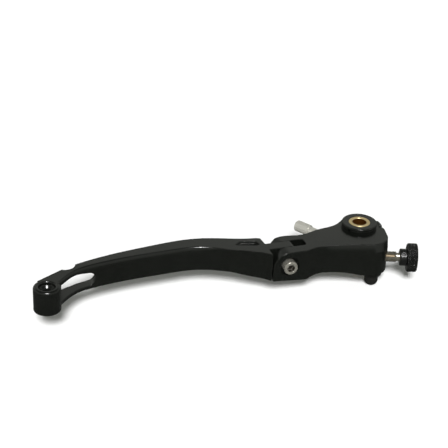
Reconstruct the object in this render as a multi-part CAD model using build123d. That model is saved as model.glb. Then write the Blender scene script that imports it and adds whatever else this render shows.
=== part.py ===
from build123d import *
import math
import os

# Folding clutch lever with a reach adjuster, in millimetres.
# Origin: on the pivot axis, at half the height of the pivot bush.
# +Z runs up the pivot axis, and the lever blade points towards -X.
# The handlebar side is +Y, and the rider's fingers come from -Y.

# ---- Heights shared by the machined pieces ----
TOP = 9.2                # flat top of the base and of the blade
BASE_BOTTOM = -9.5
BLADE_BOTTOM = -4.8
KNUCKLE_BOTTOM = -7.4    # blade height where it meets the hinge

# ---- Pivot ----
BUSH_BORE = 4.0
BUSH_R = 6.0
BUSH_HALF = 12.0
BUSH_CHAMFER = 0.3
SLEEVE_R = 7.5
FLANGE_R = 9.9
FLANGE_BOTTOM = 10.45
FLANGE_TOP = 11.9
FLANGE_CHAMFER = 0.35
BOSS_R = 11.4
RUNNING = 0.05           # radial clearance of every running fit
CIRCLIP_Z = -11.3        # underside of the circlip groove
CIRCLIP_T = 0.9
CIRCLIP_R = 8.6
CIRCLIP_GAP = 4.0
CIRCLIP_GAP_DEG = -60
GROOVE_R = 6.9
RING_LOOSE = 0.1
RING_GAP = 1.4
RING_GAP_DEG = 211
WASHER_R = 9.6
WASHER_PLAY = 0.03

# ---- Fold hinge ----
HINGE_X = -48.4
HINGE_Z = 0.4
ARM_FRONT = -19.0        # outer face of the front arm
ARM_INNER = -12.5        # slot side of the front arm
ARM_REAR = -6.0          # slot side of the rear arm
ARM_END = -57.8
SHOULDER_X = -58.6       # end of the blade's body, next to the arms
TONGUE_R = 9.4
TONGUE_BOTTOM = -8.3
TONGUE_GAP = 0.05
POCKET_END = -36.6
POCKET_ROUND = 1.6
SCREW_R = 2.5
SCREW_HEAD_R = 3.9
SCREW_HEAD_H = 5.0
SCREW_HEAD_ROUND = 0.6
SCREW_KEY = 4.0          # hex key across the flats
SCREW_KEY_DEPTH = 2.6
SCREW_END = -0.9
JOIN = 0.1               # overlap where two shapes of one solid are joined
COUNTERBORE_R = 5.5
COUNTERBORE_FLOOR = -16.0
FOLD_BUSH_R = 4.0
FOLD_BUSH_GAP = 0.02
FOLD_SPRING_R = 5.15
FOLD_SPRING_WIRE = 0.35  # every coil's wire is given by its radius
FOLD_SPRING_PITCH = 0.78
FOLD_SPRING_LENGTH = 1.9
SPRING_POCKET_R = 6.3
SPRING_POCKET_DEPTH = 2.8

# ---- Outer wall of the base ----
ARM_WALL_X = -41.0       # from here to the hinge the front wall is straight
BOSS_LEFT = Vector(-8.4, 7.7)
BOSS_END_DEG = -25
BOSS_RIGHT = Vector(BOSS_R, 0).rotate(Axis.Z, BOSS_END_DEG)
CHEEK_LINE = (BOSS_RIGHT, (12.2, -5.0), (12.6, -6.8))
REAR_ARM_LINE = ((ARM_END, -5.1), (-51.3, -0.9), (-47.0, -0.2))
NECK_LINE = ((-47.0, -0.2), (-35.5, -1.2), (-24.5, 2.0), BOSS_LEFT)
CORNER_END = Vector(10.7, -16.2)
CORNER_MID = Vector(7.0, -21.9)
CORNER_START = Vector(-0.4, -24.1)
WALL_START = Vector(-26.0, -17.6)
WALL_LINE = (WALL_START, (-31.0, -17.0), (-36.0, -18.0), (ARM_WALL_X, ARM_FRONT))
WALL_FAR = WALL_START + (WALL_START - CORNER_START)
BEVEL_IN = 1.8           # long bevel along the front of the pivot end
BEVEL_DOWN = 4.8
BEVEL_TO_X = 14.0
BEVEL_TO_Y = -9.0
BEVEL_CORNER_MID = Vector(-0.75, 1.35)
BEVEL_CORNER_END = Vector(0.4, 1.4)
WAIST_R = 60.0           # the underside's shallow waist
WAIST_X = -23.0
WAIST_RISE = 2.2
HEEL_X = -36.0           # from here the underside rises towards the blade
HEEL_END = -60.0
HEEL_RISE = 2.1
FAR = 40.0               # well outside the lever

# ---- Slot in the base that holds the pusher ----
SLOT_HALF = 5.4
PUSHER_HALF = 5.25
HUB_R = 9.8
SLOT_ROOM = 0.4
SLOT_LINE = ((-21.5, 16), (-21.5, -7), (-18.2, -12.1), (-3.4, -18.2), (3.0, -15.4), (6.3, -10.6),
             (16, -10.6), (16, 16))

# ---- Reach adjuster ----
BARREL_X = 3.0
BARREL_Y = -15.4
BARREL_R = 4.8
BARREL_TOP = 7.0
COLLAR_R = 5.45
COLLAR_BOTTOM = -13.2
PLUG_R = 3.9
PLUG_BOTTOM = -20.1
PLUG_ROUND = 3.3
PLUG_SHANK_R = 2.5
PLUG_TOP = -9.6
PLUG_PLAY = 0.1
COLLAR_GAP = 0.1
DETENT_BORE_R = 1.6
DETENT_FLOOR = -16.0
DETENT_BALL_R = 1.5
DETENT_GAP = 0.08
DETENT_SPRING_R = 1.15
DETENT_SPRING_WIRE = 0.22
DETENT_SPRING_PITCH = 1.1
DETENT_SPRING_LENGTH = 6.9
AXIS_DEG = -20.0         # direction of the adjuster axis in plan
ADJ_Z = -2.1
ROD_R = 3.1
ROD_SWING = 1.2          # the rod's hole is oval, because the rod swings with its barrel
ROD_ROOM = 0.9
ROD_IN = -6.0            # distances along the adjuster axis from the barrel
THREAD_END = 12.5
NECK_R = 2.3
NECK_END = 21.7
HUB_START = 14.6
HUB_END = 18.6
KNOB_END = 24.1
KNOB_HUB_R = 4.75
KNOB_R = 8.1
TIP_R = 2.6
TIP_REACH = 14.65        # from the barrel to the pusher's pad
TIP_SHANK_R = 1.5
TIP_SHANK_END = 3.0
TIP_BORE_END = 3.2
TIP_ROUND = 1.0
RECESS_R = 6.2           # recess in the knob's face, with the cap in it
RECESS_DEPTH = 1.2
CAP_R = 6.1
CAP_SINK = 0.1
GRUB_R = 1.25
GRUB_LENGTH = 2.2
GRUB_START = 2.35
GRUB_KEY = 1.3
GRUB_KEY_START = 1.2
GRUB_DEG = 40
PAD_GAP = 0.08           # between the tip and the pusher's pad
PAD_HALF = 2.0

# ---- Ball end of the blade ----
BALL_X = -182.2
BALL_Y = -19.3
BALL_R = 7.2
BALL_RIM = 1.5
BALL_FOOT = 0.6
BALL_HOLE_R = 2.9
BALL_SEAT_R = 4.4        # counterbore of the hole, with a cone at its foot
BALL_SEAT_Z = 7.2
BALL_CONE_Z = 5.7
BALL_SEAT_CHAMFER = 0.5

# ---- Walls of the blade, seen from above ----
REAR_LINE = ((-61.3, 1.5), (-73, 3.8), (-84, 7.2), (-97, 9.4), (-118, 7.9), (-140, 4.6), (-163.4, -1.5))
FRONT_LINE = ((BALL_X + 7.1, BALL_Y + 1.2), (-170.6, -13.4), (-164, -8.2), (-152.5, -4.6), (-135, -2.1),
              (-112, -0.7), (-97, -0.8), (-86, -4.1), (-75, -9.4), (-65, -13.9), (SHOULDER_X, ARM_FRONT + 0.1))
SHOULDER_LINE = ((SHOULDER_X, -5.6), (SHOULDER_X - 0.5, 0.4))
BALL_BACK = (BALL_X - 3.6, BALL_Y + 6.24)
BLADE_FAR_X = -195.0
BELLY_LINE = ((-80, BLADE_BOTTOM), (-70, -6.3), (SHOULDER_X + 1, KNUCKLE_BOTTOM))
NOTCH_DEEP = (-166.3, -5.3)
NOTCH_FAR = (-171.3, -4.9)
NOTCH_Z = 1.0            # the notch is in the upper rail only
WINDOW_AT = (-164, -9, 0)
WINDOW_DEG = -12
WINDOW_DEPTH = 16
WINDOW_FLOOR = -2.8
WINDOW_NOSE = ((5.2, WINDOW_FLOOR), (9.6, 1.4), (6.2, 5.0))
WINDOW_ROOF = (WINDOW_NOSE[-1], (0.5, 6.2), (-8.4, 6.6))
POCKET_LINE = ((-74.7, -2.9), (-71.0, -0.2), (-62.6, -2.2), (-61.4, -6.3), (-63.7, -6.6), (-73.6, -3.8))
POCKET_DEPTH = 1.5
ROUND_IN = 1.6           # the long rounding of the finger side's top edge
ROUND_DOWN = 4.1
ROUND_LEFT = 0.3         # what is left of it next to the hinge
FADE_FROM = -96.0
FADE_TO = -80.0
ROUND_SECTIONS = 21
ARC_PULL = 0.5523        # Bezier handle of a quarter ellipse
ROUND_SINK = 0.03        # keeps the rounding from ending exactly on the two faces

# ---- Pushrod ----
SEAT_X = -13.5
SEAT_Y = 2.6
SEAT_R = 4.0
ROD_DEG = 121.5          # direction of the pushrod in plan
PUSHROD_R = 3.2
PUSHROD_LENGTH = 9.2
PUSHROD_END = 26.2       # distance of its free end from the seat
STUD_R = 2.5
MOUTH_IN = 3.3           # half widths of the window that lets the stud swing
MOUTH_OUT = 5.6
MOUTH_HEIGHT = 3.0
MOUTH_LENGTH = 14.0
STUD_IN = -3.0
STUD_OUT = 19.0
TIP_SOCKET = 2.0

# ---- Pusher, seen from above ----
SEAT_WALL = 2.3
ARM_INSIDE = ((-9.0, -1.0), (-7.8, -5.2), (-10.6, -7.3))
ARM_OUTSIDE = ((-15.6, -10.5), (-18.6, -1.0))
SPRING_SHOULDER = ((6, 0), (7.0, -6.8), (11.2, -6.8), (12.8, -3.0), (9, 0))
STOP_R = 13.2
STOP_ROOM = 0.3
STOP_SECTOR = ((18, -4.6), (18, 4.4))
PRELOAD_AT = (8.9, -11.1)
PRELOAD_R = 1.5
PRELOAD_WIRE = 0.3
PRELOAD_PITCH = 0.95
PRELOAD_LENGTH = 3.6
PRELOAD_POCKET_R = 2.0
PRELOAD_POCKET_DEPTH = 4.0

# ---- Switch lug on the pusher ----
LUG_LINE = ((0, 6), (9.3, 14.6), (16.3, 8.8), (9, 0))
LUG_TOP = -0.25
LUG_X = 13.0
LUG_Y = 12.0
LUG_R = 4.6
LUG_HOLE = 2.1


def rising(radius, length):
    """A cylinder that starts at the origin and runs along +Z."""
    return Cylinder(radius, length, align=(Align.CENTER, Align.CENTER, Align.MIN))


def hex_prism(across_flats, length):
    """A hexagon bar that starts at the origin and runs along +Z."""
    return extrude(RegularPolygon(across_flats / 2, 6, major_radius=False), amount=length)


def post(radius, low, high, x=0.0, y=0.0):
    """An upright cylinder between two heights."""
    return Pos(x, y, low) * rising(radius, high - low)


def tube(outer, inner, low, high, x=0.0, y=0.0):
    """An upright ring between two heights."""
    return post(outer, low, high, x, y) - post(inner, low - 1, high + 1, x, y)


def prism(face, low, high):
    """A plan outline raised between two heights."""
    return extrude(Pos(0, 0, low) * face, amount=high - low)


def block(x, y, z):
    """A box between two corners, each given as (low, high)."""
    size = [high - low for low, high in (x, y, z)]
    return Pos(x[0], y[0], z[0]) * Box(*size, align=(Align.MIN, Align.MIN, Align.MIN))


def along(axis_x, axis_y, axis_z, degrees):
    """A location whose local Z points along a level direction."""
    return Pos(axis_x, axis_y, axis_z) * Rot(0, 0, degrees) * Rot(0, 90, 0)


def adjuster_place():
    return along(BARREL_X, BARREL_Y, ADJ_Z, AXIS_DEG)


def pushrod_place():
    return along(SEAT_X, SEAT_Y, 0, ROD_DEG)


def hinge_rod(radius, front, rear):
    """A cylinder on the fold axis between two depths."""
    return Pos(HINGE_X, front, HINGE_Z) * Rot(-90, 0, 0) * rising(radius, rear - front)


def coil(radius, wire, pitch, height):
    """A helical spring of round wire, upright, with its base at z = 0."""
    path = Helix(pitch=pitch, height=height, radius=radius)
    section = Plane(origin=path @ 0, z_dir=path % 0) * Circle(wire)
    return sweep(section, path=path, is_frenet=True)


# ---------------------------------------------------------------- base
def base_plan():
    """Outer wall of the base, seen from above."""
    outline = [
        Polyline(*REAR_ARM_LINE),
        Spline(*NECK_LINE, tangents=((1, 0.05), (0.74, 0.67))),
        ThreePointArc(BOSS_LEFT, (0, BOSS_R), BOSS_RIGHT),
        Polyline(*CHEEK_LINE, CORNER_END),
        ThreePointArc(CORNER_END, CORNER_MID, CORNER_START),
        Line(CORNER_START, WALL_START),
        Spline(*WALL_LINE, tangents=((-0.97, 0.25), (-1, 0))),
        Polyline(WALL_LINE[-1], (ARM_END, ARM_FRONT), REAR_ARM_LINE[0]),
    ]
    return make_face(outline)


def end_plan(start, middle, end, wall_far):
    """Plan of the pivot end, which is cut by its front wall and its round corner only."""
    outline = [
        Polyline(wall_far, (wall_far.X, FAR), (FAR, FAR), (FAR, 0), end),
        ThreePointArc(end, middle, start),
        Line(start, wall_far),
    ]
    return make_face(outline)


def front_bevel():
    """What the long bevel cuts from the front and the corner of the pivot end."""
    along_wall = (WALL_START - CORNER_START).normalized()
    step = Vector(along_wall.Y, -along_wall.X) * BEVEL_IN
    wall = end_plan(CORNER_START, CORNER_MID, CORNER_END, WALL_FAR)
    rim = end_plan(CORNER_START + step, CORNER_MID + BEVEL_CORNER_MID, CORNER_END + BEVEL_CORNER_END,
                   WALL_FAR + step)
    knee = TOP - BEVEL_DOWN
    kept = loft([Pos(0, 0, knee) * wall, Pos(0, 0, TOP) * rim], ruled=True)
    return block((WALL_START.X, BEVEL_TO_X), (-FAR, BEVEL_TO_Y), (knee, TOP + 1)) - kept


def pusher_slot():
    """Level slot that the pusher turns in, with room for the adjuster's tip."""
    room = make_face(Polyline(*SLOT_LINE, close=True))
    ring = Circle(HUB_R + SLOT_ROOM)
    return prism(room, -SLOT_HALF, SLOT_HALF) + prism(ring, -SLOT_HALF, SLOT_HALF)


def hinge_slot():
    """Upright slot between the two arms, rounded at its closed end."""
    slot = block((ARM_END - 2, POCKET_END), (ARM_INNER, ARM_REAR), (BASE_BOTTOM - 1, TOP + 1))
    ends = slot.edges().filter_by(Axis.Z).sort_by(Axis.X)[-2:]
    return fillet(ends, POCKET_ROUND)


def arm_rounding():
    """What is cut from the arm ends so that they are round above the hinge."""
    above = block((ARM_END - 3, HINGE_X), (-30, 5), (HINGE_Z, TOP + 3))
    end = Plane.XZ * Pos(HINGE_X, HINGE_Z) * Ellipse(HINGE_X - ARM_END, TOP - HINGE_Z)
    return above - extrude(end, amount=FAR, both=True)


def lever_base():
    body = prism(base_plan(), BASE_BOTTOM, TOP)
    body -= front_bevel()
    body -= Pos(WAIST_X, 0, BASE_BOTTOM - WAIST_R + WAIST_RISE) * Rot(90, 0, 0) * Cylinder(WAIST_R, 2 * FAR)
    heel = Polyline((HEEL_X, BASE_BOTTOM), (HEEL_X, -FAR), (HEEL_END, -FAR), (HEEL_END, BASE_BOTTOM + HEEL_RISE),
                    close=True)
    body -= extrude(Plane.XZ * make_face(heel), amount=FAR, both=True)
    body -= pusher_slot() + hinge_slot() + arm_rounding()
    body -= post(SLEEVE_R + RUNNING, BASE_BOTTOM - 1, TOP + 1)
    body -= post(BARREL_R + RUNNING, BASE_BOTTOM - 1, BARREL_TOP + 0.2, BARREL_X, BARREL_Y)
    oval = SlotCenterToCenter(ROD_SWING, 2 * ROD_R + ROD_ROOM, rotation=90)
    body -= adjuster_place() * extrude(oval, amount=20)
    body -= hinge_rod(SCREW_R + RUNNING, ARM_FRONT - 1, 3)
    body -= hinge_rod(COUNTERBORE_R, ARM_FRONT - 1, COUNTERBORE_FLOOR)
    body -= preload_place() * rising(PRELOAD_POCKET_R, PRELOAD_POCKET_DEPTH)
    return body


# ---------------------------------------------------------------- fold hinge
def fold_screw():
    head_top = COUNTERBORE_FLOOR - SCREW_HEAD_H
    head = rising(SCREW_HEAD_R, SCREW_HEAD_H)
    head = fillet(head.edges().sort_by(Axis.Z)[0], SCREW_HEAD_ROUND)
    head -= hex_prism(SCREW_KEY, SCREW_KEY_DEPTH)
    head = Pos(HINGE_X, head_top, HINGE_Z) * Rot(-90, 0, 0) * head
    return head + hinge_rod(SCREW_R, COUNTERBORE_FLOOR - JOIN, SCREW_END)


def fold_bush():
    bush = hinge_rod(FOLD_BUSH_R, ARM_INNER + FOLD_BUSH_GAP, ARM_REAR - FOLD_BUSH_GAP)
    return bush - hinge_rod(SCREW_R + RUNNING, -FAR, FAR)


def fold_spring():
    turns = coil(FOLD_SPRING_R, FOLD_SPRING_WIRE, FOLD_SPRING_PITCH, FOLD_SPRING_LENGTH)
    return Pos(HINGE_X, ARM_REAR - FOLD_SPRING_LENGTH - 0.5, HINGE_Z) * Rot(-90, 0, 0) * turns


# ---------------------------------------------------------------- blade
def blade_plan():
    """Outer wall of the blade, without its tongue and its ball end."""
    outline = [
        Polyline(*SHOULDER_LINE, REAR_LINE[0]),
        Spline(*REAR_LINE),
        Polyline(REAR_LINE[-1], NOTCH_FAR, BALL_BACK, (BALL_X, BALL_Y), FRONT_LINE[0]),
        Spline(*FRONT_LINE),
        Line(FRONT_LINE[-1], SHOULDER_LINE[0]),
    ]
    return make_face(outline)


def blade_side():
    """Side view of the blade: level, and deeper towards the hinge."""
    outline = [
        Polyline(BELLY_LINE[-1], (SHOULDER_X + 1, TOP), (BLADE_FAR_X, TOP), (BLADE_FAR_X, BLADE_BOTTOM),
                 BELLY_LINE[0]),
        Spline(*BELLY_LINE, tangents=((1, 0), (1, -0.12))),
    ]
    return extrude(Plane.XZ * make_face(outline), amount=FAR, both=True)


def tongue():
    """Tongue between the arms, round about the fold axis at its end."""
    front = ARM_INNER + TONGUE_GAP
    rear = ARM_REAR - TONGUE_GAP
    bar = block((SHOULDER_X - 4, HINGE_X), (front, rear), (KNUCKLE_BOTTOM, TOP))
    round_end = hinge_rod(TONGUE_R, front, rear) & block((HINGE_X - 1, 0), (-30, 5), (TONGUE_BOTTOM, TOP))
    solid = bar + round_end
    solid -= hinge_rod(FOLD_BUSH_R + RUNNING, -20, 0)
    return solid - hinge_rod(SPRING_POCKET_R, rear - SPRING_POCKET_DEPTH, 0)


def window():
    """Long tear-drop window beside the ball end."""
    place = Pos(*WINDOW_AT) * Rot(0, 0, WINDOW_DEG) * Rot(90, 0, 0)
    outline = [
        ThreePointArc(*WINDOW_NOSE),
        Spline(*WINDOW_ROOF, tangents=((-1, 0.1), (-1, 0.0))),
        Polyline(WINDOW_ROOF[-1], (WINDOW_ROOF[-1][0], WINDOW_FLOOR), WINDOW_NOSE[0]),
    ]
    return extrude(place * make_face(outline), amount=WINDOW_DEPTH, both=True)


def rear_notch():
    """Hollow in the back of the upper rail, next to the ball end."""
    hollow = ThreePointArc(REAR_LINE[-1], NOTCH_DEEP, NOTCH_FAR)
    outline = [hollow, Polyline(NOTCH_FAR, (NOTCH_FAR[0], FAR), (REAR_LINE[-1][0], FAR), REAR_LINE[-1])]
    return prism(make_face(outline), NOTCH_Z, TOP + 1)


def thumb_pocket():
    """Shallow recess in the top of the blade next to the hinge."""
    return prism(make_face(Polyline(*POCKET_LINE, close=True)), TOP - POCKET_DEPTH, TOP + 1)


def rounding_section(inward, down):
    """Corner that a rounding takes away: local X runs into the blade, and Y runs up from its top."""
    start = Vector(inward - ROUND_SINK, ROUND_SINK)
    end = Vector(-ROUND_SINK, ROUND_SINK - down)
    arc = Bezier(start, start - Vector(ARC_PULL * inward, 0), end + Vector(0, ARC_PULL * down), end)
    rest = Polyline(end, (-1, end.Y), (-1, 1), (start.X, 1), start)
    return make_face([arc, rest])


def front_rounding():
    """What is cut from the finger side's top edge: full at the ball end, nearly nothing at the hinge."""
    line = Spline(*FRONT_LINE)
    sections = []
    for number in range(ROUND_SECTIONS):
        place = line @ (number / (ROUND_SECTIONS - 1))
        forward = line % (number / (ROUND_SECTIONS - 1))
        fade = min(1.0, (FADE_TO - place.X) / (FADE_TO - FADE_FROM))
        inward = max(ROUND_LEFT, ROUND_IN * fade)
        down = max(ROUND_LEFT, ROUND_DOWN * fade)
        corner = Plane(place + Vector(0, 0, TOP), x_dir=(-forward.Y, forward.X, 0), z_dir=forward)
        sections.append(corner * rounding_section(inward, down))
    return loft(sections)


def ball_end():
    ball = post(BALL_R, BLADE_BOTTOM, TOP, BALL_X, BALL_Y)
    ball = fillet(ball.edges().sort_by(Axis.Z)[-1], BALL_RIM)
    return fillet(ball.edges().sort_by(Axis.Z)[0], BALL_FOOT)


def upright_cone(low_radius, high_radius, low, high):
    """A cone on the ball end's axis between two heights."""
    cone = Cone(low_radius, high_radius, high - low, align=(Align.CENTER, Align.CENTER, Align.MIN))
    return Pos(BALL_X, BALL_Y, low) * cone


def ball_hole():
    hole = post(BALL_HOLE_R, BLADE_BOTTOM - 1, TOP, BALL_X, BALL_Y)
    hole += upright_cone(BALL_HOLE_R, BALL_SEAT_R, BALL_CONE_Z, BALL_SEAT_Z)
    hole += post(BALL_SEAT_R, BALL_SEAT_Z, TOP + 1, BALL_X, BALL_Y)
    return hole + upright_cone(BALL_SEAT_R, BALL_SEAT_R + BALL_SEAT_CHAMFER, TOP - BALL_SEAT_CHAMFER, TOP)


def lever_blade():
    body = prism(blade_plan(), BLADE_BOTTOM - 4, TOP) & blade_side()
    body -= window() + front_rounding() + rear_notch()
    body += ball_end()
    body -= thumb_pocket()
    body += tongue()
    return body - ball_hole()


# ---------------------------------------------------------------- pivot
def pivot_sleeve():
    body = post(FLANGE_R, FLANGE_BOTTOM, FLANGE_TOP) + post(SLEEVE_R, -BUSH_HALF, FLANGE_TOP)
    body = chamfer(body.edges().filter_by(GeomType.CIRCLE).group_by(Axis.Z)[-1], FLANGE_CHAMFER)
    body -= post(BUSH_R, -BUSH_HALF - 1, FLANGE_TOP + 1)
    return body - tube(SLEEVE_R + 1, GROOVE_R, CIRCLIP_Z - RUNNING, CIRCLIP_Z + CIRCLIP_T + RUNNING)


def pivot_bush():
    body = tube(BUSH_R, BUSH_BORE, -BUSH_HALF, BUSH_HALF)
    rims = body.edges().filter_by(GeomType.CIRCLE)
    return chamfer(rims, BUSH_CHAMFER)


def split(ring, degrees, gap):
    """Opens a ring with one parallel gap."""
    cut = Rot(0, 0, degrees) * block((0, FAR), (-gap / 2, gap / 2), (-FAR, FAR))
    return ring - cut


def pivot_ring():
    ring = tube(FLANGE_R - 0.2, SLEEVE_R + RING_LOOSE, TOP + RUNNING, FLANGE_BOTTOM - RUNNING)
    return split(ring, RING_GAP_DEG, RING_GAP)


def pivot_washer():
    return tube(WASHER_R, SLEEVE_R + RING_LOOSE, CIRCLIP_Z + CIRCLIP_T + WASHER_PLAY, BASE_BOTTOM - WASHER_PLAY)


def pivot_circlip():
    ring = tube(CIRCLIP_R, GROOVE_R + RUNNING, CIRCLIP_Z, CIRCLIP_Z + CIRCLIP_T)
    return split(ring, CIRCLIP_GAP_DEG, CIRCLIP_GAP)


# ---------------------------------------------------------------- pusher
def preload_place():
    """The preload spring's seat in the base, with local Z along the spring."""
    return along(*PRELOAD_AT, 0, 90)


def preload_spring():
    turns = coil(PRELOAD_R, PRELOAD_WIRE, PRELOAD_PITCH, PRELOAD_LENGTH)
    return preload_place() * Pos(0, 0, PRELOAD_WIRE + RUNNING) * turns


def pusher_plan():
    hub = Circle(HUB_R)
    seat = Pos(SEAT_X, SEAT_Y) * Circle(SEAT_R + SEAT_WALL)
    pad = adjuster_place() * Pos(0, 0, -TIP_REACH - PAD_GAP)
    pad_in = pad * Pos(0, PAD_HALF, 0)
    pad_out = pad * Pos(0, -PAD_HALF, 0)
    arm = make_face(Polyline(
        *ARM_INSIDE, (pad_in.position.X, pad_in.position.Y), (pad_out.position.X, pad_out.position.Y),
        *ARM_OUTSIDE, close=True))
    return hub + seat + arm + make_face(Polyline(*SPRING_SHOULDER, close=True))


def pusher_stop():
    """Full-height lug that follows the rim of the base's boss."""
    sector = make_face(Polyline((0, 0), *STOP_SECTOR, close=True))
    upper = prism(Circle(STOP_R) & sector, -PUSHER_HALF, TOP)
    return upper - post(BOSS_R + STOP_ROOM, PUSHER_HALF, TOP + 1)


def pusher():
    body = prism(pusher_plan(), -PUSHER_HALF, PUSHER_HALF) + pusher_stop()
    lug_bar = make_face(Polyline(*LUG_LINE, close=True))
    lug = prism(lug_bar, -PUSHER_HALF, LUG_TOP) + post(LUG_R, -PUSHER_HALF, LUG_TOP, LUG_X, LUG_Y)
    body += lug - post(HUB_R - 1, -FAR, FAR)
    body -= post(SLEEVE_R + RUNNING, -FAR, FAR)
    body -= post(LUG_HOLE, -FAR, FAR, LUG_X, LUG_Y)
    body -= post(SEAT_R + RUNNING, -FAR, FAR, SEAT_X, SEAT_Y)
    mouth = make_face(Polyline(
        (0, MOUTH_IN), (MOUTH_LENGTH, MOUTH_OUT), (MOUTH_LENGTH, -MOUTH_OUT), (0, -MOUTH_IN), close=True))
    mouth = Pos(SEAT_X, SEAT_Y) * Rot(0, 0, ROD_DEG) * mouth
    return body - prism(mouth, -MOUTH_HEIGHT, MOUTH_HEIGHT)


# ---------------------------------------------------------------- pushrod
def pushrod_barrel():
    body = post(SEAT_R, -PUSHER_HALF, PUSHER_HALF, SEAT_X, SEAT_Y)
    return body - pushrod_place() * Cylinder(STUD_R, FAR)


def pushrod_stud():
    return pushrod_place() * Pos(0, 0, STUD_IN) * rising(STUD_R, STUD_OUT - STUD_IN)


def pushrod_tip():
    tip = rising(PUSHROD_R, PUSHROD_LENGTH)
    tip = chamfer(tip.edges().sort_by(Axis.Z)[-1], 0.5)
    tip = chamfer(tip.edges().sort_by(Axis.Z)[0], 0.25)
    tip -= rising(STUD_R, TIP_SOCKET)
    return pushrod_place() * Pos(0, 0, PUSHROD_END - PUSHROD_LENGTH) * tip


# ---------------------------------------------------------------- adjuster
def adjuster_barrel():
    body = post(BARREL_R, COLLAR_BOTTOM, BARREL_TOP, BARREL_X, BARREL_Y)
    body += post(COLLAR_R, COLLAR_BOTTOM, BASE_BOTTOM - COLLAR_GAP, BARREL_X, BARREL_Y)
    body -= adjuster_place() * Cylinder(ROD_R + RUNNING, FAR)
    body -= post(PLUG_SHANK_R, COLLAR_BOTTOM - 1, PLUG_TOP + PLUG_PLAY, BARREL_X, BARREL_Y)
    return body - post(DETENT_BORE_R, COLLAR_BOTTOM - 1, ADJ_Z, BARREL_X, BARREL_Y)


def detent_plug():
    cap = post(PLUG_R, PLUG_BOTTOM, COLLAR_BOTTOM, BARREL_X, BARREL_Y)
    cap = fillet(cap.edges().sort_by(Axis.Z)[0], PLUG_ROUND)
    cap += post(PLUG_SHANK_R, COLLAR_BOTTOM, PLUG_TOP, BARREL_X, BARREL_Y)
    return cap - post(DETENT_BORE_R, DETENT_FLOOR, PLUG_TOP + 1, BARREL_X, BARREL_Y)


def detent_ball():
    return Pos(BARREL_X, BARREL_Y, ADJ_Z - ROD_R - DETENT_BALL_R - DETENT_GAP) * Sphere(DETENT_BALL_R)


def detent_spring():
    turns = coil(DETENT_SPRING_R, DETENT_SPRING_WIRE, DETENT_SPRING_PITCH, DETENT_SPRING_LENGTH)
    return Pos(BARREL_X, BARREL_Y, DETENT_FLOOR + DETENT_SPRING_WIRE + 0.13) * turns


def axial(radius, start, end):
    """A cylinder on the adjuster axis between two distances from the barrel."""
    return adjuster_place() * Pos(0, 0, start) * rising(radius, end - start)


def adjuster_screw():
    body = axial(ROD_R, ROD_IN, THREAD_END) + axial(NECK_R, THREAD_END, NECK_END)
    return body - axial(TIP_SHANK_R + RUNNING, ROD_IN - 1, TIP_BORE_END)


def adjuster_tip():
    head = rising(TIP_R, TIP_REACH + ROD_IN - JOIN)
    head = fillet(head.edges().sort_by(Axis.Z)[0], TIP_ROUND)
    head = adjuster_place() * Pos(0, 0, -TIP_REACH) * head
    return head + axial(TIP_SHANK_R, ROD_IN - 2 * JOIN, TIP_SHANK_END)


def knob_hub():
    hub = axial(KNOB_HUB_R, HUB_START, HUB_END)
    hub = chamfer(hub.edges().filter_by(GeomType.CIRCLE), 0.3)
    return hub - axial(NECK_R, 0, FAR) - grub_place() * rising(GRUB_R, FAR)


def knob_wheel():
    wheel = axial(KNOB_R, HUB_END, KNOB_END)
    wheel = chamfer(wheel.edges().filter_by(GeomType.CIRCLE), 0.7)
    wheel -= axial(RECESS_R, KNOB_END - RECESS_DEPTH, KNOB_END + 1)
    return wheel - axial(NECK_R, 0, KNOB_END - 1)


def knob_cap():
    cap = axial(CAP_R, KNOB_END - RECESS_DEPTH, KNOB_END - CAP_SINK)
    return chamfer(cap.edges().filter_by(GeomType.CIRCLE), 0.25)


def grub_place():
    """Grub screw through the hub, pointing up and outwards from the axis."""
    mid = (HUB_START + HUB_END) / 2
    return adjuster_place() * Pos(0, 0, mid) * Rot(0, 0, GRUB_DEG) * Rot(0, -90, 0)


def knob_grub():
    grub = rising(GRUB_R, GRUB_LENGTH)
    grub -= Pos(0, 0, GRUB_KEY_START) * hex_prism(GRUB_KEY, GRUB_LENGTH)
    return grub_place() * Pos(0, 0, GRUB_START) * grub


NODES = {
    "lever_base": lever_base,
    "fold_screw": fold_screw,
    "fold_bush": fold_bush,
    "fold_spring": fold_spring,
    "lever_blade": lever_blade,
    "pivot_sleeve": pivot_sleeve,
    "pivot_bush": pivot_bush,
    "pivot_ring": pivot_ring,
    "pivot_washer": pivot_washer,
    "pivot_circlip": pivot_circlip,
    "pusher": pusher,
    "preload_spring": preload_spring,
    "pushrod_barrel": pushrod_barrel,
    "pushrod_stud": pushrod_stud,
    "pushrod_tip": pushrod_tip,
    "adjuster_barrel": adjuster_barrel,
    "detent_plug": detent_plug,
    "detent_ball": detent_ball,
    "detent_spring": detent_spring,
    "adjuster_screw": adjuster_screw,
    "adjuster_tip": adjuster_tip,
    "knob_hub": knob_hub,
    "knob_wheel": knob_wheel,
    "knob_cap": knob_cap,
    "knob_grub": knob_grub,
}

os.makedirs("parts", exist_ok=True)
for name, make in NODES.items():
    export_step(make(), "parts/" + name + ".step")
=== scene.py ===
import math

import bmesh
import bpy
from mathutils import Matrix, Vector

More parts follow.
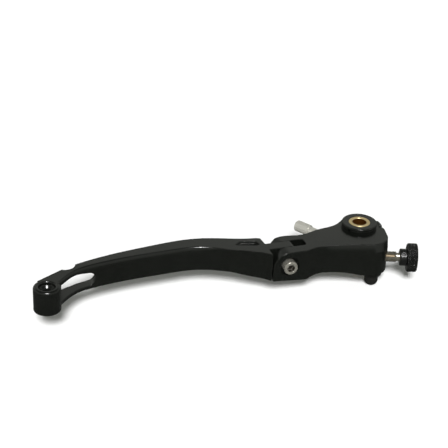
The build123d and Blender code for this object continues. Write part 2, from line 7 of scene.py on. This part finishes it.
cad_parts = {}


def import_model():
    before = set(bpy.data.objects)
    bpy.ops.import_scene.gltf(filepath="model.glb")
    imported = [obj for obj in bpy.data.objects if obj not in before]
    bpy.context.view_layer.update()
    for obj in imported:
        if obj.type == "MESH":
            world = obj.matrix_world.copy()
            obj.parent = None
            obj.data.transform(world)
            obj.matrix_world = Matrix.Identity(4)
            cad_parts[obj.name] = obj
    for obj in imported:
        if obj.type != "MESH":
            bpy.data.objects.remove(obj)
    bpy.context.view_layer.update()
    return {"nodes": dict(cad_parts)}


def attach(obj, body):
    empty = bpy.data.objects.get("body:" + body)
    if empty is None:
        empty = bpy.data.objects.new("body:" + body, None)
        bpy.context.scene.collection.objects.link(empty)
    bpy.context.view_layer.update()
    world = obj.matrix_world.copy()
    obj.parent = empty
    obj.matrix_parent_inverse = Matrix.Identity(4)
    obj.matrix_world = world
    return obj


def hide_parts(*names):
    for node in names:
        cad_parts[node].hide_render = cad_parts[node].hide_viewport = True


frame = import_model()
nodes = frame["nodes"]

MM = 0.001

# ---- Sizes taken from the CAD source, in millimetres ----
ADJUSTER_AT = Vector((3.0, -15.4, -2.1))
ADJUSTER_DEG = -20.0
ROD_R = 3.1
ROD_START = -6.0
THREAD_END = 12.5
NECK_R = 2.3
NECK_END = 21.7
BORE_R = 1.55
BORE_END = 3.2
PITCH = 0.8
HUB_END = 18.6
KNOB_END = 24.1
KNOB_R = 8.03
RECESS_R = 6.2
RECESS_DEPTH = 1.2
BUSH_BORE = 4.0
BALL_AT = Vector((-182.2, -19.3, 0.0))
BALL_R = 7.2
BALL_SEAT_R = 4.4
HINGE_AT = Vector((-48.4, 0.0, 0.4))
SOCKET_MOUTH = -20.9
SOCKET_R = 2.35


# ---------------------------------------------------------------- shader helpers
class Shader:
    """A material's nodes, with short calls for the ones used here."""

    def __init__(self, name, **sockets):
        self.material = bpy.data.materials.new(name)
        self.material.use_nodes = True
        self.tree = self.material.node_tree
        self.shader = self.tree.nodes["Principled BSDF"]
        for socket, value in sockets.items():
            self.shader.inputs[socket.replace("_", " ")].default_value = value
        self.coords = self.tree.nodes.new("ShaderNodeTexCoord").outputs["Object"]

    def add(self, kind, **settings):
        node = self.tree.nodes.new(kind)
        for key, value in settings.items():
            setattr(node, key, value)
        return node

    def link(self, a, b):
        self.tree.links.new(a, b)

    def noise(self, size_mm, detail=3.0, rough=0.55, stretch=(1, 1, 1), turn=(0, 0, 0)):
        """Noise of a real grain size, stretched along an axis where asked."""
        mapping = self.add("ShaderNodeMapping")
        mapping.inputs["Rotation"].default_value = [math.radians(a) for a in turn]
        mapping.inputs["Scale"].default_value = stretch
        self.link(self.coords, mapping.inputs["Vector"])
        node = self.add("ShaderNodeTexNoise")
        node.inputs["Scale"].default_value = 1 / (size_mm * MM)
        node.inputs["Detail"].default_value = detail
        node.inputs["Roughness"].default_value = rough
        self.link(mapping.outputs["Vector"], node.inputs["Vector"])
        return node.outputs["Fac"]

    def spread(self, value, low, high, start=0.3, end=0.7):
        """Maps a noise value to a range."""
        node = self.add("ShaderNodeMapRange")
        node.inputs["From Min"].default_value = start
        node.inputs["From Max"].default_value = end
        node.inputs["To Min"].default_value = low
        node.inputs["To Max"].default_value = high
        self.link(value, node.inputs["Value"])
        return node.outputs["Result"]

    def mix(self, factor, a, b):
        node = self.add("ShaderNodeMix", data_type="RGBA")
        self.link(factor, node.inputs["Factor"])
        for socket, value in (("A", a), ("B", b)):
            target = [s for s in node.inputs if s.name == socket and s.type == "RGBA"][0]
            if isinstance(value, tuple):
                target.default_value = (*value, 1)
            else:
                self.link(value, target)
        return [s for s in node.outputs if s.type == "RGBA"][0]

    def colour(self, value):
        self.link(value, self.shader.inputs["Base Color"])

    def rough(self, value):
        self.link(value, self.shader.inputs["Roughness"])

    def bump(self, *layers):
        """Stacks (height, depth in mm, strength) layers."""
        last = None
        for value, depth, strength in layers:
            node = self.add("ShaderNodeBump")
            node.inputs["Strength"].default_value = strength
            node.inputs["Distance"].default_value = depth * MM
            self.link(value, node.inputs["Height"])
            if last is not None:
                self.link(last, node.inputs["Normal"])
            last = node.outputs["Normal"]
        self.link(last, self.shader.inputs["Normal"])


def anodised(name, dark, light, low, high, edge_sheen):
    """Black anodised aluminium with a bead-blast grain. The optional lighter colour, mixed in patches, goes on
    its rounded edges as a painted highlight.
    """
    s = Shader(name, Metallic=0.0, Specular_IOR_Level=0.5)
    patches = s.noise(9.0, 4.0, 0.6)
    grain = s.noise(0.16, 2.0, 0.6)
    smudge = s.noise(22.0, 5.0, 0.65, stretch=(0.5, 1.0, 1.0))
    base = s.mix(s.spread(patches, 0.0, 1.0, 0.32, 0.68), dark, light)
    if edge_sheen is not None:
        # Lighter patches on the rounded edges: a painted highlight.
        sheen_patches = s.noise(1.3, 6.0, 0.7)
        base = s.mix(s.spread(sheen_patches, 0.0, 0.9, 0.5, 0.72), base, edge_sheen)
    s.colour(base)
    s.rough(s.spread(smudge, low, high, 0.3, 0.7))
    s.bump((grain, 0.012, 0.35), (s.noise(0.55, 3.0), 0.02, 0.18))
    return s.material


def steel(name, dark, light, low, high, metallic, turn, stretch):
    """Bright steel with fine turning lines across one axis."""
    s = Shader(name, Metallic=metallic)
    lines = s.noise(0.35, 5.0, 0.7, stretch=stretch, turn=turn)
    stain = s.noise(3.0, 4.0, 0.6)
    s.colour(s.mix(s.spread(lines, 0.0, 1.0), dark, light))
    s.rough(s.spread(stain, low, high, 0.3, 0.7))
    s.bump((lines, 0.01, 0.3), (s.noise(0.2, 2.0), 0.008, 0.2))
    return s.material


BLACK = anodised("black_anodised", (0.0034, 0.0040, 0.0032), (0.0046, 0.0052, 0.0042), 0.19, 0.25, None)
# Edge material: a lighter tint in patches that paints the highlights along the rounded edges.
BLACK_EDGE = anodised("black_anodised_edge_painted_highlight", (0.0040, 0.0044, 0.0036), (0.0054, 0.0058, 0.0048), 0.15, 0.21,
                      (0.030, 0.030, 0.028))
DARK_STEEL = anodised("black_steel", (0.006, 0.006, 0.006), (0.010, 0.010, 0.009), 0.20, 0.32, None)
KNOB_BLACK = anodised("knob_black", (0.0045, 0.0048, 0.0042), (0.0070, 0.0074, 0.0066), 0.24, 0.34, None)
# Darker material for the inside of the screw's hex socket: painted shade in the recess.
SOCKET_DARK = anodised("socket_painted_shade", (0.010, 0.008, 0.006), (0.018, 0.014, 0.010), 0.34, 0.46, None)
# Darker brown steel for the thread's flutes: painted shade in the grooves.
STEEL_FLUTE_SHADE = steel("stainless_flute_painted_shade", (0.07, 0.052, 0.030), (0.13, 0.10, 0.062), 0.30, 0.42, 0.7,
                    (0, 0, 20), (4.0, 0.3, 0.3))
STEEL_ADJUSTER = steel("stainless_adjuster", (0.22, 0.205, 0.165), (0.36, 0.34, 0.28), 0.16, 0.28, 0.8,
                       (0, 0, 20), (4.0, 0.3, 0.3))
STEEL_ROD = steel("stainless_pushrod", (0.50, 0.49, 0.44), (0.66, 0.65, 0.59), 0.24, 0.34, 0.5,
                  (0, 0, -121.5), (0.15, 3.0, 3.0))
STEEL_SCREW = steel("stainless_screw", (0.30, 0.29, 0.25), (0.44, 0.42, 0.37), 0.20, 0.32, 0.7,
                    (0, 0, 0), (0.4, 4.0, 0.4))
SPRING = steel("spring_steel", (0.30, 0.29, 0.28), (0.42, 0.41, 0.39), 0.28, 0.42, 0.8, (0, 0, 0), (1, 1, 1))


def bronze(name, metallic, dark, light):
    """Turned bearing bronze with fine rings and pores."""
    s = Shader(name, Metallic=metallic)
    rings = s.noise(0.25, 5.0, 0.7, stretch=(0.3, 0.3, 4.0))
    pores = s.noise(0.5, 3.0, 0.6)
    s.colour(s.mix(s.spread(rings, 0.0, 1.0), dark, light))
    s.rough(s.spread(pores, 0.28, 0.42))
    s.bump((rings, 0.012, 0.3), (pores, 0.01, 0.2))
    return s.material


BRONZE = bronze("bronze", 0.6, (0.50, 0.38, 0.18), (0.62, 0.50, 0.27))
# Dark brown bronze for the bush's bore: painted shade inside the hole.
BRONZE_BORE_SHADE = bronze("bronze_bore_painted_shade", 0.8, (0.12, 0.040, 0.006), (0.19, 0.070, 0.012))


# ---------------------------------------------------------------- mesh helpers
SEAM = 0.002 * MM                    # vertices this close are joined
FLAT_LIMIT = math.radians(0.05)      # faces that meet at less than this are one flat face
EDGE_LIMIT = math.radians(35)        # edges sharper than this are broken off
CREASE_LIMIT = math.radians(12)      # broad faces that meet at more than this keep their own shading
BROAD = 3 * MM ** 2
SMOOTH_DEG = 40
BEVEL_SEGMENTS = 3


def new_object(name, bm, materials, smooth_deg=None):
    """An object from a bmesh. Edges sharper than smooth_deg keep their own shading."""
    mesh = bpy.data.meshes.new(name)
    bmesh.ops.recalc_face_normals(bm, faces=bm.faces)
    bm.to_mesh(mesh)
    bm.free()
    for attribute in [a for a in mesh.attributes if a.name == "custom_normal"]:
        mesh.attributes.remove(attribute)
    for material in materials:
        mesh.materials.append(material)
    for polygon in mesh.polygons:
        polygon.material_index = 0
        polygon.use_smooth = True
    if smooth_deg:
        mesh.set_sharp_from_angle(angle=math.radians(smooth_deg))
    piece = bpy.data.objects.new(name, mesh)
    bpy.context.scene.collection.objects.link(piece)
    return piece


def clean_copy(node):
    """The CAD node's surface with its seams joined and its flat faces made whole."""
    bm = bmesh.new()
    bm.from_mesh(nodes[node].data)
    bmesh.ops.remove_doubles(bm, verts=bm.verts, dist=SEAM)
    bmesh.ops.dissolve_limit(bm, angle_limit=FLAT_LIMIT, verts=bm.verts, edges=bm.edges)
    return bm


def fit(piece, node, body):
    """Puts a piece on its body in the place of its CAD node."""
    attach(piece, body)
    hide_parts(node)
    return piece


def weigh_edges(bm, spare):
    """Marks the edges to break: the sharp ones, apart from those in the spared places."""
    layer = bm.edges.layers.float.new("bevel_weight_edge")
    for edge in bm.edges:
        if len(edge.link_faces) != 2 or edge.calc_face_angle(0.0) < EDGE_LIMIT:
            continue
        if not spare or not spare((edge.verts[0].co + edge.verts[1].co) / 2 / MM):
            edge[layer] = 1.0


def crease_edges(bm):
    """Keeps the shading apart where two broad faces meet at a blunt angle."""
    for edge in bm.edges:
        if len(edge.link_faces) == 2 and CREASE_LIMIT < edge.calc_face_angle(0.0) < EDGE_LIMIT:
            edge.smooth = min(face.calc_area() for face in edge.link_faces) < BROAD


def rounded(node, body, materials, width, spare=None):
    """A piece whose CAD edges are broken off, with the broken edges in the last material."""
    bm = clean_copy(node)
    weigh_edges(bm, spare)
    crease_edges(bm)
    piece = new_object(node + "_finish", bm, materials)
    bevel = piece.modifiers.new("edges", "BEVEL")
    bevel.width = width * MM
    bevel.segments = BEVEL_SEGMENTS
    bevel.limit_method = "WEIGHT"
    bevel.use_clamp_overlap = False
    bevel.miter_outer = "MITER_ARC"
    bevel.material = len(materials) - 1
    shade = piece.modifiers.new("shade", "WEIGHTED_NORMAL")
    shade.mode = "FACE_AREA"
    shade.weight = 50
    shade.keep_sharp = True
    return fit(piece, node, body)


def paint(piece, material, where):
    """Gives the faces that pass the test another material. The test takes the centre and the normal."""
    piece.data.materials.append(material)
    index = len(piece.data.materials) - 1
    for polygon in piece.data.polygons:
        if where(polygon.center / MM, polygon.normal):
            polygon.material_index = index
    return piece


def smooth(node, body, materials):
    """A piece that keeps its CAD edges as they are."""
    return fit(new_object(node + "_finish", clean_copy(node), materials, SMOOTH_DEG), node, body)


def adjuster_matrix():
    """Turns +Z into the adjuster's axis, with the zero at its barrel."""
    turn = Matrix.Rotation(math.radians(ADJUSTER_DEG), 4, "Z") @ Matrix.Rotation(math.radians(90), 4, "Y")
    return Matrix.Translation(ADJUSTER_AT * MM) @ turn


def turned(profile, count, relief=None):
    """Spins a closed profile of (distance along the axis, radius) points about Z, in millimetres."""
    bm = bmesh.new()
    rings = []
    for along, radius in profile:
        ring = []
        for i in range(count):
            angle = 2 * math.pi * i / count
            r = relief(along, angle, radius) if relief else radius
            ring.append(bm.verts.new((r * math.cos(angle) * MM, r * math.sin(angle) * MM, along * MM)))
        rings.append(ring)
    for a, b in zip(rings, rings[1:] + rings[:1]):
        for i in range(count):
            j = (i + 1) % count
            bm.faces.new((a[i], a[j], b[j], b[i]))
    return bm


def steps(start, end, step):
    """Evenly spaced places from start to end, about one step apart."""
    count = max(1, round((end - start) / step))
    return [start + (end - start) * i / count for i in range(count + 1)]


# ---------------------------------------------------------------- fluted end of the pushrod
PUSHROD_AT = Vector((-13.5, 2.6, 0.0))
PUSHROD_DEG = 121.5
TIP_R = 3.2
TIP_START = 17.0
TIP_END = 26.2
STUD_R = 2.5
TIP_SEAT_END = TIP_START + 2.0
TIP_EDGE = 0.25
TIP_FLUTES = 16
TIP_FLUTE_DEPTH = 0.16
TIP_FLUTE_FROM = TIP_START + 0.9
TIP_FLUTE_TO = TIP_END - 1.0
TIP_FLUTE_RUN_OUT = 0.5
AXIS_HOLE = 0.02                     # radius where a turned face closes on its axis


def pushrod_matrix():
    """Turns +Z into the pushrod's axis, with the zero at its barrel."""
    turn = Matrix.Rotation(math.radians(PUSHROD_DEG), 4, "Z") @ Matrix.Rotation(math.radians(90), 4, "Y")
    return Matrix.Translation(PUSHROD_AT * MM) @ turn


def tip_relief(along, angle, radius):
    """Shallow lengthwise flutes that run out before both ends."""
    room = min(along - TIP_FLUTE_FROM, TIP_FLUTE_TO - along)
    if radius < TIP_R - 0.01 or room < 0:
        return radius
    across = abs(math.sin(TIP_FLUTES * angle / 2))
    return radius - TIP_FLUTE_DEPTH * (1 - across) * min(1.0, room / TIP_FLUTE_RUN_OUT)


def pushrod_tip():
    """Fluted pushrod end with a rounded nose."""
    profile = [(TIP_START, STUD_R), (TIP_START, TIP_R - TIP_EDGE), (TIP_START + TIP_EDGE, TIP_R)]
    profile += [(t, TIP_R) for t in steps(TIP_START + 0.5, TIP_END - 0.85, 0.2)]
    profile += [(TIP_END - 0.6, TIP_R - 0.05), (TIP_END - 0.3, TIP_R - 0.2), (TIP_END - 0.08, TIP_R - 0.45),
                (TIP_END, TIP_R - 0.8), (TIP_END, AXIS_HOLE), (TIP_SEAT_END, AXIS_HOLE), (TIP_SEAT_END, STUD_R)]
    bm = turned(profile, TIP_FLUTES * 10, tip_relief)
    bm.transform(pushrod_matrix())
    return fit(new_object("pushrod_tip_fluted", bm, [STEEL_ROD], 40), "pushrod_tip", "pushrod")


# ---------------------------------------------------------------- threaded adjuster rod
THREAD_DEPTH = 0.46
THREAD_SLOPE = 2.4                   # over 2, so that the crests are flat
THREAD_MARGIN = 0.2                  # plain length at both ends
THREAD_RUN_OUT = 0.6
FLUTES = 4
FLUTE_DEPTH = 0.55
FLUTE_HALF = math.radians(18)
FLUTE_TURN = math.radians(50)
FLUTE_SHADE_FROM = 4.0


def flute_distance(angle):
    """Angle from the nearest click groove."""
    step = 2 * math.pi / FLUTES
    return abs((angle - FLUTE_TURN + step / 2) % step - step / 2)


def thread_relief(along, angle, radius):
    """Single-start thread with lengthwise click grooves."""
    if radius < ROD_R - 0.01 or not ROD_START + THREAD_MARGIN <= along <= THREAD_END - THREAD_MARGIN:
        return radius
    phase = (along / PITCH - angle / (2 * math.pi)) % 1.0
    ridge = min(1.0, THREAD_SLOPE * min(phase, 1 - phase))
    run_out = min(1.0, (THREAD_END - THREAD_MARGIN - along) / THREAD_RUN_OUT)
    r = radius - THREAD_DEPTH * (1 - ridge) * run_out
    away = flute_distance(angle)
    if away < FLUTE_HALF:
        groove = math.sqrt(1 - (away / FLUTE_HALF) ** 2)
        r = min(r, radius - FLUTE_DEPTH * groove * run_out)
    return r


def adjuster_rod():
    """Threaded rod with a plain neck and a bore for the tip. Its visible flutes get a darker brown steel as
    painted shade.
    """
    profile = [(ROD_START, BORE_R), (ROD_START, ROD_R - 0.35)]
    profile += [(t, ROD_R) for t in steps(ROD_START + 0.3, THREAD_END - 0.25, 0.08)]
    profile += [(THREAD_END, ROD_R - 0.3), (THREAD_END, NECK_R), (NECK_END - 0.2, NECK_R),
                (NECK_END, NECK_R - 0.2), (NECK_END, AXIS_HOLE), (BORE_END, AXIS_HOLE), (BORE_END, BORE_R)]
    bm = turned(profile, 96, thread_relief)
    bm.transform(adjuster_matrix())
    piece = new_object("adjuster_rod_threaded", bm, [STEEL_ADJUSTER], 38)
    back = adjuster_matrix().inverted()

    def in_flute(centre, normal):
        local = back @ (centre * MM) / MM
        return FLUTE_SHADE_FROM < local.z < THREAD_END - 0.3 and math.hypot(local.x, local.y) < ROD_R - 0.3 \
            and flute_distance(math.atan2(local.y, local.x)) < FLUTE_HALF

    # The flute faces get the darker steel: painted shade.
    paint(piece, STEEL_FLUTE_SHADE, in_flute)
    return fit(piece, "adjuster_screw", "knob")


# ---------------------------------------------------------------- knurled wheel
KNURLS = 28
KNURL_DEPTH = 0.8
KNURL_PITCH = 1.7
KNURL_FLAT = 1.35                    # over 1, so that the diamonds have flat tops
RIM_CHAMFER = 0.55
CAP_R = 6.1
CAP_TOP = KNOB_END - 0.1
CAP_EDGE = 0.25
CAP_RINGS = (5.2, 4.6)
CAP_RING_HALF = 0.12


def triangle(x):
    """1 midway between two grooves and 0 in a groove."""
    x = x % 1.0
    return 1 - abs(2 * x - 1)


def knurl_relief(along, angle, radius):
    """Crossed grooves that leave diamonds, with both rims chamfered."""
    if radius < KNOB_R - 0.01:
        return radius
    turns = KNURLS * angle / (2 * math.pi)
    across = along / KNURL_PITCH
    height = min(triangle(turns + across), triangle(turns - across))
    height = min(1.0, height * KNURL_FLAT)
    edge = min(along - HUB_END, KNOB_END - along)
    chamfer = KNOB_R - max(0.0, RIM_CHAMFER - edge)
    return min(chamfer, KNOB_R - KNURL_DEPTH * (1 - height))


def knob_wheel():
    """Knurled wheel with a recess for the cap."""
    inner = KNOB_R - RIM_CHAMFER - 0.35
    profile = [(HUB_END, NECK_R), (HUB_END, inner)]
    profile += [(t, KNOB_R) for t in steps(HUB_END + 0.06, KNOB_END - 0.06, 0.1)]
    profile += [(KNOB_END, inner), (KNOB_END, RECESS_R + 0.2), (KNOB_END - 0.2, RECESS_R),
                (KNOB_END - RECESS_DEPTH, RECESS_R), (KNOB_END - RECESS_DEPTH, NECK_R)]
    bm = turned(profile, KNURLS * 12, knurl_relief)
    bm.transform(adjuster_matrix())
    return fit(new_object("knob_wheel_knurled", bm, [KNOB_BLACK], 30), "knob_wheel", "knob")


def knob_cap():
    """Plain turned disc with shallow rings."""
    low = KNOB_END - RECESS_DEPTH
    profile = [(low, AXIS_HOLE), (low, CAP_R), (CAP_TOP - CAP_EDGE, CAP_R), (CAP_TOP, CAP_R - CAP_EDGE)]
    for ring in CAP_RINGS:
        profile += [(CAP_TOP, ring + CAP_RING_HALF), (CAP_TOP - CAP_RING_HALF, ring),
                    (CAP_TOP, ring - CAP_RING_HALF)]
    profile += [(CAP_TOP, 0.9), (CAP_TOP - 0.25, 0.6), (CAP_TOP - 0.3, AXIS_HOLE)]
    bm = turned(profile, 96)
    bm.transform(adjuster_matrix())
    return fit(new_object("knob_cap_turned", bm, [KNOB_BLACK], 30), "knob_cap", "knob")


# ---------------------------------------------------------------- pieces
def ball_joint(place):
    """Where the ball end runs into the blade, and its rim is already round."""
    return BALL_SEAT_R + 0.5 < math.hypot(place.x - BALL_AT.x, place.y - BALL_AT.y) < BALL_R + 1.2


rounded("lever_base", "base", [BLACK, BLACK_EDGE], 0.3)
rounded("lever_blade", "blade", [BLACK, BLACK_EDGE], 0.25, spare=ball_joint)
rounded("pusher", "pusher", [BLACK, BLACK_EDGE], 0.3)
rounded("pivot_sleeve", "base", [BLACK, BLACK_EDGE], 0.25)
# The bore faces get the dark bronze: painted shade.
paint(rounded("pivot_bush", "base", [BRONZE], 0.12), BRONZE_BORE_SHADE,
      lambda c, n: math.hypot(c.x, c.y) < BUSH_BORE + 0.05 and abs(n.z) < 0.3)
rounded("pivot_ring", "base", [BLACK, BLACK_EDGE], 0.15)
rounded("pivot_washer", "base", [DARK_STEEL], 0.1)
rounded("pivot_circlip", "base", [DARK_STEEL], 0.1)
# The inside of the hex socket gets the darker material: painted shade.
paint(rounded("fold_screw", "base", [STEEL_SCREW], 0.14), SOCKET_DARK,
      lambda c, n: c.y > SOCKET_MOUTH and math.hypot(c.x - HINGE_AT.x, c.z - HINGE_AT.z) < SOCKET_R)
rounded("fold_bush", "base", [BRONZE], 0.1)
smooth("fold_spring", "base", [SPRING])
smooth("preload_spring", "base", [SPRING])
rounded("pushrod_barrel", "pushrod", [STEEL_ROD], 0.15)
rounded("pushrod_stud", "pushrod", [STEEL_ROD], 0.1)
rounded("adjuster_barrel", "barrel", [BLACK, BLACK_EDGE], 0.25)
rounded("detent_plug", "barrel", [DARK_STEEL], 0.15)
smooth("detent_ball", "barrel", [STEEL_SCREW])
smooth("detent_spring", "barrel", [SPRING])
rounded("adjuster_tip", "tip", [STEEL_ADJUSTER], 0.12)
rounded("knob_hub", "knob", [KNOB_BLACK], 0.2)
rounded("knob_grub", "knob", [DARK_STEEL], 0.08)
pushrod_tip()
adjuster_rod()
knob_wheel()
knob_cap()


# ---------------------------------------------------------------- floor, light and camera
FLOOR_Z = -20.25 * MM
FLOOR_HALF = 4.0
ROOM_TINT = (1.0, 1.03, 0.95)
ROOM_STOPS = ((0.0, 0.10), (0.46, 0.09), (0.54, 0.42), (0.76, 0.46), (0.84, 0.07), (1.0, 0.03))
CAMERA_AT = Vector((-0.2968, -0.5933, 0.3641))
CAMERA_AIM = Vector((-0.0674, 0.0368, 0.0))
CAMERA_ROLL_DEG = 2.7
CAMERA_LENS = 106.9


def floor():
    """Plain pale floor that isn't seen in reflections."""
    bm = bmesh.new()
    corners = [(-FLOOR_HALF, -FLOOR_HALF), (FLOOR_HALF, -FLOOR_HALF), (FLOOR_HALF, FLOOR_HALF),
               (-FLOOR_HALF, FLOOR_HALF)]
    bm.faces.new([bm.verts.new((x, y, FLOOR_Z)) for x, y in corners])
    s = Shader("pale_floor", Metallic=0.0, Specular_IOR_Level=0.0)
    s.colour(s.mix(s.noise(40.0, 4.0), (0.94, 0.94, 0.94), (0.96, 0.96, 0.96)))
    s.rough(s.spread(s.noise(5.0), 0.8, 0.9))
    piece = new_object("floor", bm, [s.material])
    piece.visible_glossy = False


def sun(name, azimuth, elevation, strength, angle, seen_by):
    """A soft lamp that lights either the diffuse or the glossy part of every material."""
    light = bpy.data.lights.new(name, "SUN")
    light.energy = strength
    light.angle = math.radians(angle)
    lamp = bpy.data.objects.new(name, light)
    lamp.visible_diffuse = seen_by == "diffuse"
    lamp.visible_glossy = seen_by == "glossy"
    a = math.radians(azimuth)
    e = math.radians(elevation)
    source = Vector((math.sin(a) * math.cos(e), -math.cos(a) * math.cos(e), math.sin(e)))
    lamp.rotation_euler = source.to_track_quat("Z", "Y").to_euler()
    bpy.context.scene.collection.objects.link(lamp)


def world(stops):
    """Plain room, whose grey changes with height only: 0 is straight down and 1 straight up."""
    w = bpy.data.worlds.new("room")
    bpy.context.scene.world = w
    w.use_nodes = True
    tree = w.node_tree
    coords = tree.nodes.new("ShaderNodeTexCoord")
    split = tree.nodes.new("ShaderNodeSeparateXYZ")
    ramp = tree.nodes.new("ShaderNodeValToRGB")
    shift = tree.nodes.new("ShaderNodeMapRange")
    shift.inputs["From Min"].default_value = -1.0
    shift.inputs["From Max"].default_value = 1.0
    tree.links.new(coords.outputs["Generated"], split.inputs["Vector"])
    tree.links.new(split.outputs["Z"], shift.inputs["Value"])
    tree.links.new(shift.outputs["Result"], ramp.inputs["Fac"])
    elements = ramp.color_ramp.elements
    while len(elements) < len(stops):
        elements.new(0.5)
    for element, (position, grey) in zip(elements, stops):
        element.position = position
        element.color = (*[grey * tint for tint in ROOM_TINT], 1)
    tree.links.new(ramp.outputs["Color"], tree.nodes["Background"].inputs["Color"])


def camera(at, aim, roll, lens):
    """A camera that looks from one point at another, rolled about its own axis."""
    data = bpy.data.cameras.new("camera")
    data.lens = lens
    data.sensor_width = 36.0
    data.clip_start = 0.01
    data.clip_end = 50.0
    cam = bpy.data.objects.new("camera", data)
    cam.location = at
    cam.rotation_mode = "QUATERNION"
    turn = (aim - at).to_track_quat("-Z", "Y")
    cam.rotation_quaternion = turn @ Matrix.Rotation(math.radians(roll), 3, "Z").to_quaternion()
    bpy.context.scene.collection.objects.link(cam)
    bpy.context.scene.camera = cam


floor()
world(ROOM_STOPS)
sun("key", -20, 41, 4.5, 14, "diffuse")
sun("strip", -12, 58, 3.0, 10, "glossy")
camera(CAMERA_AT, CAMERA_AIM, CAMERA_ROLL_DEG, CAMERA_LENS)
bpy.context.scene.view_settings.view_transform = "Standard"
